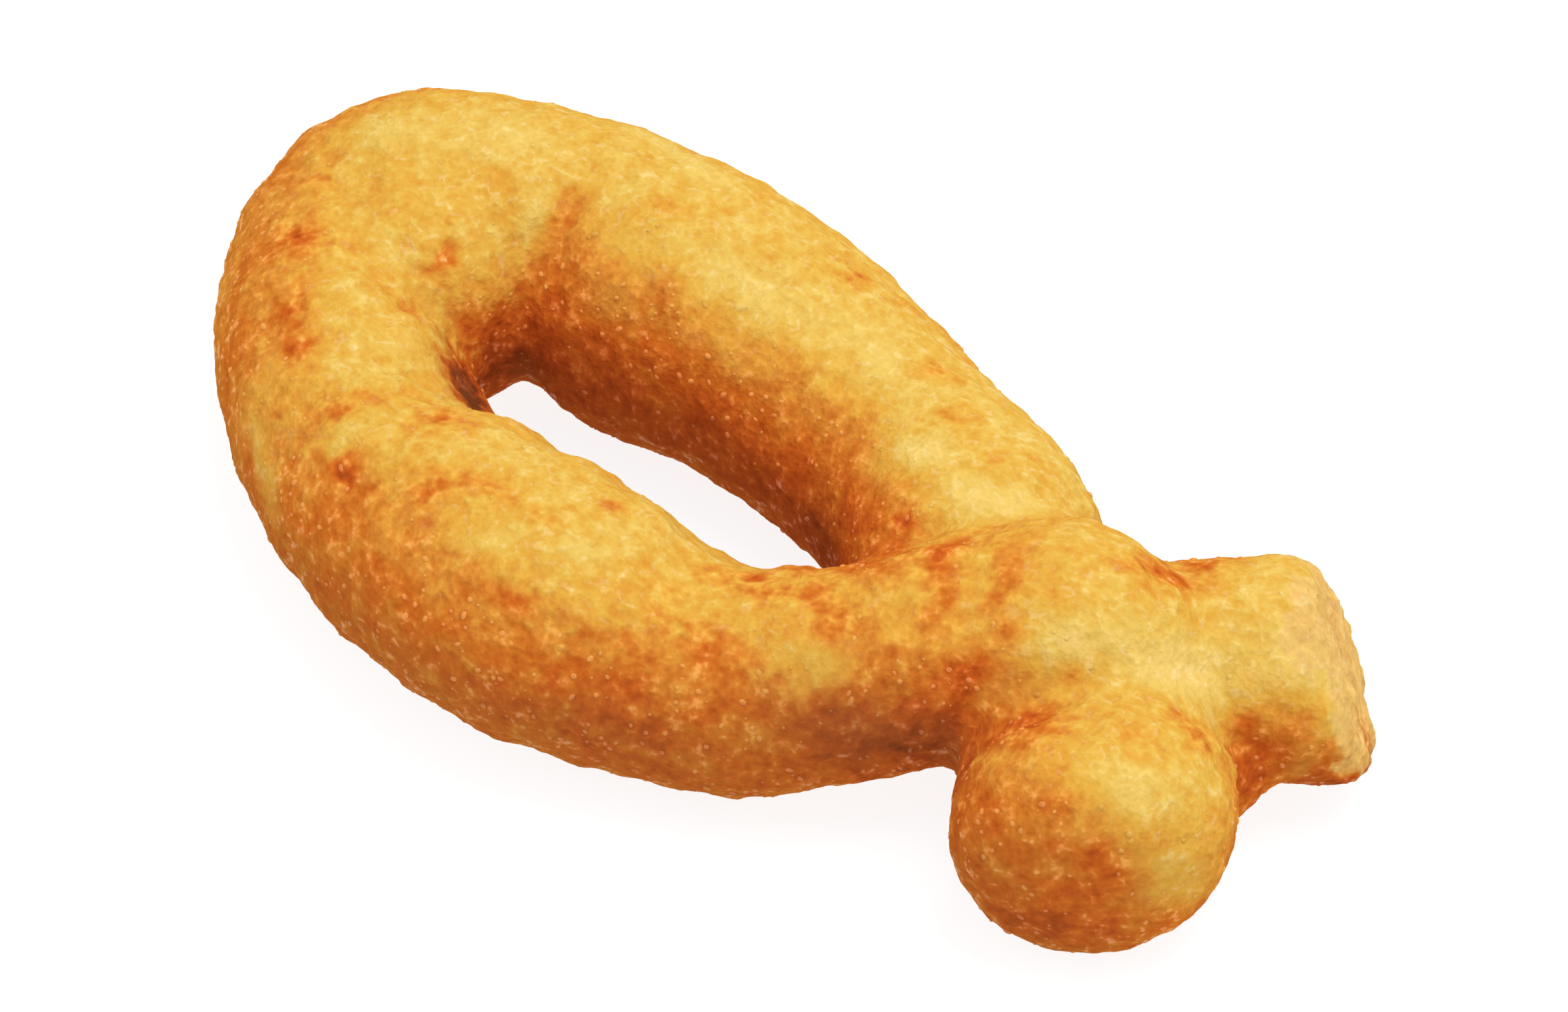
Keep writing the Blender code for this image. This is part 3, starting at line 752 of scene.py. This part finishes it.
@dataclass
class Crust:
    """The doughnut's skin: one closed piece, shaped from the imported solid."""

    solid: bpy.types.Object
    finish: CrustFinish = field(default_factory=CrustFinish)
    cell: float = 0.475 * MM  # the size of the skin's faces
    pale_lit_side: tuple[float, float] = (30.0, 65.0)  # azimuth from X and elevation of its palest side, which faces the lamp: partly the frying's paler top, partly painted light
    painted_shade_side: tuple[float, float] = (-97.0, -35.0)  # azimuth and elevation of the side that gets the most painted shade
    brown_by_facing: tuple[tuple[float, float], ...] = (  # 1 faces the palest side, -1 away from it; partly the frying's own browner sides, partly painted light and shade
        (-0.60, 0.66),
        (-0.20, 0.74),
        (0.10, 0.68),
        (0.40, 0.58),
        (0.60, 0.45),
        (0.85, 0.16),
        (1.00, 0.10),
    )
    # partly browner frying and partly painted shade on the hole's inner walls
    brown_in_hole: float = 0.18
    lumps: tuple[float, float] = (6.5 * MM, 0.50 * MM)  # each is a size and a height
    bumps: tuple[float, float] = (2.8 * MM, 0.36 * MM)
    peel: tuple[float, float] = (1.2 * MM, 0.17 * MM)
    foot: float = 1.2 * MM  # how far above the rest surface the relief has its full height
    hole: tuple[Point, Point] = ((-24.0, 2.0, 0.0), (10.0, -1.0, 0.0))
    cut_at: Point = (57.0, 11.5, 11.0)
    cut_normal: Point = (0.78, 0.62, 0.37)
    brown_on_cut: float = 0.15
    cut_roughness: float = 1.4  # how much higher the peel is there
    name: str = "crust"

    def build(self) -> bpy.types.Object:
        """Makes the piece, dressed, in place of the solid."""
        thing = placed(self.name, self._base_mesh())
        skin = Skin(thing.data)
        self._shape(thing.data, skin)
        thing.data = self._relief().run(thing)
        self._rest(thing.data)
        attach(thing, "root")
        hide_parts(self.solid.name)
        return thing

    def _base_mesh(self) -> bpy.types.Mesh:
        """The solid's form in small even faces."""
        loose = bmesh.new()
        loose.from_mesh(self.solid.data)
        bmesh.ops.remove_doubles(loose, verts=loose.verts, dist=0.01 * MM)
        mesh = bpy.data.meshes.new("form")
        loose.to_mesh(mesh)
        loose.free()
        form = placed("form", mesh)
        finer = form.modifiers.new("finer", "SUBSURF")
        finer.levels = finer.render_levels = 2
        even = form.modifiers.new("even", "REMESH")
        even.mode = "VOXEL"
        even.voxel_size = self.cell
        soft = form.modifiers.new("soft", "SMOOTH")
        soft.factor, soft.iterations = 0.5, 8
        result = plain_mesh(form, self.name)
        bpy.data.objects.remove(form)
        result.materials.clear()
        return result

    def _shape(self, mesh: bpy.types.Mesh, skin: Skin) -> None:
        """Sinks the creases and marks into the skin, and stores what its points carry."""
        toast = np.zeros(len(skin.points))
        rise = np.zeros(len(skin.points))
        # painted shade: darker on the sides that face away from the lamp and down, and in the marked hollows
        shade = eased(self._facing(skin, self.painted_shade_side), 0.40, 0.95)
        for mark in MARKS:
            patch = skin.patch(mark)
            toast += mark.toast * patch
            rise += mark.rise * MM * patch
            shade += mark.shade * patch
        for crease in CREASES:
            far = skin.beside(crease)
            rise -= crease.depth * MM * np.exp(-(far**2))
            rise += crease.lip * MM * np.exp(-((far - 2.0) ** 2))
            # painted shade: darker along the furrow's middle
            toast += crease.toast * np.exp(-((far / 1.6) ** 2))
        facing = self._facing(skin, self.pale_lit_side)
        browning_and_shade = self._browning_and_shade(skin, facing)
        cut = self._cut(skin)
        toast += self.brown_on_cut * eased(cut, 0.7, 1.0)
        room = eased(browning_and_shade, 0.1, 0.6) * (1.0 - 0.8 * cut) * (1.0 - 0.8 * eased(browning_and_shade, 0.78, 0.95))
        carried(mesh, Trait.BROWNING_AND_SHADE, browning_and_shade * (1.0 - 0.6 * cut))
        carried(mesh, Trait.TOAST, toast)
        carried(mesh, Trait.CUT, cut)
        carried(mesh, Trait.ROOM, room)
        carried(mesh, Trait.SHADE, shade)
        places = skin.points + skin.out * rise[:, None]
        mesh.vertices.foreach_set("co", places.ravel())
        mesh.update()

    @staticmethod
    def _facing(skin: Skin, side: tuple[float, float]) -> np.ndarray:
        """1 where a point faces a side, given by its azimuth and elevation, and -1 where it faces away."""
        out = skin.spread(skin.out, 40)
        out /= np.linalg.norm(out, axis=1)[:, None]
        azimuth, elevation = (math.radians(angle) for angle in side)
        level = math.cos(elevation)
        return out @ np.array((math.cos(azimuth) * level, math.sin(azimuth) * level, math.sin(elevation)))

    def _browning_and_shade(self, skin: Skin, facing: np.ndarray) -> np.ndarray:
        """How brown each point is painted, from 0 to 1, by where it faces and whether it lies in the hole: partly the
        frying's own browner sides, partly painted light on the side that faces the lamp and painted shade in the
        hole.
        """
        brown = np.interp(facing, *zip(*self.brown_by_facing))
        start, end = (np.array(place[:2]) * MM for place in self.hole)
        run = end - start
        share = np.clip((skin.points[:, :2] - start) @ run / run.dot(run), 0.0, 1.0)
        inward = start + share[:, None] * run - skin.points[:, :2]
        far = np.linalg.norm(inward, axis=1)
        towards = np.einsum("ij,ij->i", inward, skin.out[:, :2]) / np.maximum(far, MM)
        inner = eased(towards, 0.1, 0.7) * (1.0 - eased(far, 10.0 * MM, 20.0 * MM))
        return brown + self.brown_in_hole * inner * eased(-facing, -0.7, -0.1)

    def _cut(self, skin: Skin) -> np.ndarray:
        """1 on the cut end's face, with an uneven edge, and 0 away from it."""
        ahead = np.array(self.cut_normal) / np.linalg.norm(self.cut_normal)
        near = np.linalg.norm(skin.points - np.array(self.cut_at) * MM, axis=1) < 10.0 * MM
        front = (skin.points[near] @ ahead).max()
        uneven = skin.points + skin.waver(4.0 * MM, 2.4 * MM) + skin.waver(1.3 * MM, 1.4 * MM)
        return eased(uneven @ ahead - front, -2.8 * MM, -0.8 * MM)

    def _relief(self) -> Recipe:
        """The tree that gives the skin its lumps, bumps and orange peel."""
        recipe = Recipe(
            "skin_relief",
            {
                "Lump size": self.lumps[0],
                "Lump height": self.lumps[1],
                "Bump size": self.bumps[0],
                "Bump height": self.bumps[1],
                "Peel size": self.peel[0],
                "Peel height": self.peel[1],
                "Foot": self.foot,
                "Cut roughness": self.cut_roughness,
            },
        )
        graph, place = recipe.graph, recipe.place
        lump = graph.noise(place, recipe.size("Lump size"), 1.0)
        bump = graph.noise(graph.moved(place, (0.11, 0.05, 0.07)), recipe.size("Bump size"), 1.0)
        peel = graph.noise(graph.moved(place, (0.02, 0.13, 0.31)), recipe.size("Peel size"), 1.0)
        height = graph.add("ShaderNodeSeparateXYZ", None, {"Vector": place}).outputs["Z"]
        lifted = (Value(graph, height) / recipe.size("Foot")).clipped()
        rougher = recipe.trait(Trait.CUT) * recipe.size("Cut roughness") + 1.0
        rise = bump * 2.0 * recipe.size("Bump height") + peel * 2.0 * recipe.size("Peel height") * rougher
        rise = rise + lump * 2.0 * recipe.size("Lump height")
        offset = graph.scaled(recipe.normal, rise * lifted)
        stored = recipe.store(recipe.mesh, Trait.RELIEF, peel * 2.0 + bump)
        moved = graph.add("GeometryNodeSetPosition", None, {"Geometry": stored, "Offset": offset})
        recipe.finish(moved.outputs["Geometry"], self.finish.build())
        return recipe

    @staticmethod
    def _rest(mesh: bpy.types.Mesh) -> None:
        """Keeps the skin above the surface that it rests on."""
        for vertex in mesh.vertices:
            vertex.co.z = max(vertex.co.z, 0.0)
        mesh.update()


@dataclass
class Blisters:
    """Small blisters that the hot oil raised on the skin, denser where it is brown."""

    skin: bpy.types.Object
    finish: CrustFinish
    spacing: float = 0.60 * MM
    width: tuple[float, float] = (0.13 * MM, 0.36 * MM)  # half of the smallest and the largest
    flatness: float = 0.8
    sunk: float = 0.45  # how much of a blister's height lies in the skin
    seed: int = 5
    name: str = "blisters"

    def build(self) -> bpy.types.Object:
        """Makes the piece, dressed, on the skin."""
        thing = placed(self.name, self.skin.data.copy())
        thing.data = self._scatter().run(thing)
        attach(thing, "root")
        return thing

    def _scatter(self) -> Recipe:
        """The tree that strews the blisters over the skin."""
        recipe = Recipe(
            "blister_scatter",
            {
                "Spacing": self.spacing,
                "Least width": self.width[0],
                "Most width": self.width[1],
                "Flatness": self.flatness,
                "Sunk": self.sunk,
                "Cluster": 3.0 * MM,
                "Seed": self.seed,
            },
        )
        graph = recipe.graph
        cluster = graph.noise(recipe.place, recipe.size("Cluster"), 2.0)
        height = graph.add("ShaderNodeSeparateXYZ", None, {"Vector": recipe.place}).outputs["Z"]
        density = (recipe.trait(Trait.ROOM) * 0.55 - 0.15 + cluster * 2.6).clipped()
        density = density * Value(graph, height).eased(1.0 * MM, 3.0 * MM)
        spread = graph.add(
            "GeometryNodeDistributePointsOnFaces",
            {"distribute_method": "POISSON"},
            {
                "Mesh": recipe.mesh,
                "Distance Min": recipe.size("Spacing"),
                "Density Max": 0.7e6,
                "Density Factor": density,
                "Seed": recipe.size("Seed"),
            },
        )
        bead = graph.add("GeometryNodeMeshUVSphere", None, {"Segments": 6, "Rings": 4, "Radius": 1.0})
        width = graph.add(
            "FunctionNodeRandomValue",
            {"data_type": "FLOAT"},
            {"Min_001": recipe.size("Least width"), "Max_001": recipe.size("Most width"), "Seed": 3},
        )
        width_value = Value(graph, graph.socket(width.outputs, "Value_001"))
        stretch = graph.add(
            "FunctionNodeRandomValue", {"data_type": "FLOAT"}, {"Min_001": 0.8, "Max_001": 1.6, "Seed": 8}
        )
        scale = graph.add(
            "ShaderNodeCombineXYZ",
            None,
            {
                "X": width_value,
                "Y": width_value * Value(graph, graph.socket(stretch.outputs, "Value_001")),
                "Z": width_value * recipe.size("Flatness"),
            },
        )
        twist = graph.add(
            "FunctionNodeRandomValue", {"data_type": "FLOAT"}, {"Min_001": -1.5, "Max_001": 1.5, "Seed": 4}
        )
        spin = graph.add(
            "ShaderNodeCombineXYZ", None, {"Z": Value(graph, graph.socket(twist.outputs, "Value_001"))}
        )
        turned = graph.add(
            "FunctionNodeRotateRotation",
            {"rotation_space": "LOCAL"},
            {"Rotation": spread.outputs["Rotation"], "Rotate By": spin.outputs["Vector"]},
        )
        beads = graph.add(
            "GeometryNodeInstanceOnPoints",
            None,
            {
                "Points": spread.outputs["Points"],
                "Instance": bead.outputs["Mesh"],
                "Rotation": turned.outputs["Rotation"],
                "Scale": scale.outputs["Vector"],
            },
        )
        sink = graph.add("ShaderNodeCombineXYZ", None, {"Z": recipe.size("Sunk") * -1.0})
        sunk = graph.add(
            "GeometryNodeTranslateInstances",
            None,
            {"Instances": beads.outputs["Instances"], "Translation": sink.outputs["Vector"]},
        )
        recipe.finish(sunk.outputs["Instances"], self.finish.build())
        return recipe


@dataclass
class Studio:
    """The pale floor, the soft lights and the camera."""

    middle: Vector
    aim: Point = (3.8, 4.1, 10.0)  # mm
    azimuth: float = 37.0
    elevation: float = 45.0
    distance: float = 0.55
    lens: float = 143.1
    shift: tuple[float, float] = (-0.00545, 0.00712)
    floor_size: float = 6.0
    floor_grey: float = 0.18
    floor_glow: float = 0.87
    sky: float = 1.0
    key_power: float = 3.4
    key_size: float = 0.5
    key_from: tuple[float, float, float] = (35.0, 76.0, 0.8)  # azimuth from X, elevation, distance

    def build(self) -> None:
        """Makes the floor, the lights and the camera."""
        self._floor()
        self._lights()
        self._camera()

    def _floor(self) -> None:
        """The plain pale floor, which isn't part of the doughnut."""
        half = self.floor_size / 2
        mesh = bpy.data.meshes.new("floor")
        mesh.from_pydata([(-half, -half, 0), (half, -half, 0), (half, half, 0), (-half, half, 0)], [], [(0, 1, 2, 3)])
        floor = placed("floor", mesh)
        material = bpy.data.materials.new("floor")
        material.use_nodes = True
        shader = material.node_tree.nodes["Principled BSDF"]
        shader.inputs["Base Color"].default_value = opaque((self.floor_grey,) * 3)
        shader.inputs["Roughness"].default_value = 1.0
        shader.inputs["Specular IOR Level"].default_value = 0.0
        shader.inputs["Emission Color"].default_value = (1.0, 1.0, 1.0, 1.0)
        shader.inputs["Emission Strength"].default_value = self.floor_glow
        mesh.materials.append(material)
        floor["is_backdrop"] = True

    def _lights(self) -> None:
        """An even sky and one soft lamp, up behind the doughnut's right side."""
        world = bpy.data.worlds.new("sky")
        world.use_nodes = True
        background = world.node_tree.nodes["Background"]
        background.inputs["Color"].default_value = (1.0, 1.0, 1.0, 1.0)
        background.inputs["Strength"].default_value = self.sky
        bpy.context.scene.world = world
        azimuth, elevation = (math.radians(angle) for angle in self.key_from[:2])
        level = math.cos(elevation)
        back = Vector((math.cos(azimuth) * level, math.sin(azimuth) * level, math.sin(elevation)))
        light = bpy.data.lights.new("key", "AREA")
        light.shape, light.size, light.energy = "DISK", self.key_size, self.key_power
        lamp = bpy.data.objects.new("key", light)
        lamp.location = self.middle + back * self.key_from[2]
        lamp.rotation_mode = "QUATERNION"
        lamp.rotation_quaternion = (-back).to_track_quat("-Z", "Y")
        bpy.context.scene.collection.objects.link(lamp)

    def _camera(self) -> None:
        """The camera, which looks down on the doughnut from its near side."""
        azimuth, elevation = math.radians(self.azimuth), math.radians(self.elevation)
        level = math.cos(elevation)
        back = Vector((math.sin(azimuth) * level, -math.cos(azimuth) * level, math.sin(elevation)))
        data = bpy.data.cameras.new("camera")
        data.sensor_width, data.lens = 36.0, self.lens
        data.shift_x, data.shift_y = self.shift
        data.clip_start = 0.01
        camera = bpy.data.objects.new("camera", data)
        camera.location = Vector(self.aim) * MM + back * self.distance
        camera.rotation_mode = "QUATERNION"
        camera.rotation_quaternion = (-back).to_track_quat("-Z", "Y")
        bpy.context.scene.collection.objects.link(camera)
        bpy.context.scene.camera = camera
        bpy.context.scene.view_settings.view_transform = "Standard"


def main() -> None:
    """Builds the doughnut's looks and its surroundings."""
    logging.basicConfig(level=logging.INFO, format="%(message)s")
    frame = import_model()
    low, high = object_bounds()
    crust = Crust(frame["nodes"]["cruller"]).build()
    LOG.info("%s: %d faces", crust.name, len(crust.data.polygons))
    # the blisters' finish: a little paler and oilier, with stronger painted glints on their tops
    blister_finish = CrustFinish(
        name="blister_skin",
        roughness=0.4,
        glint=1.0,
        glint_from=-0.4,
        gleam=0.25,
        lightening=0.06,
    )
    blisters = Blisters(crust, blister_finish).build()
    LOG.info("%s: %d faces", blisters.name, len(blisters.data.polygons))
    Studio(middle=(low + high) / 2).build()


if __name__ == "__main__":
    main()
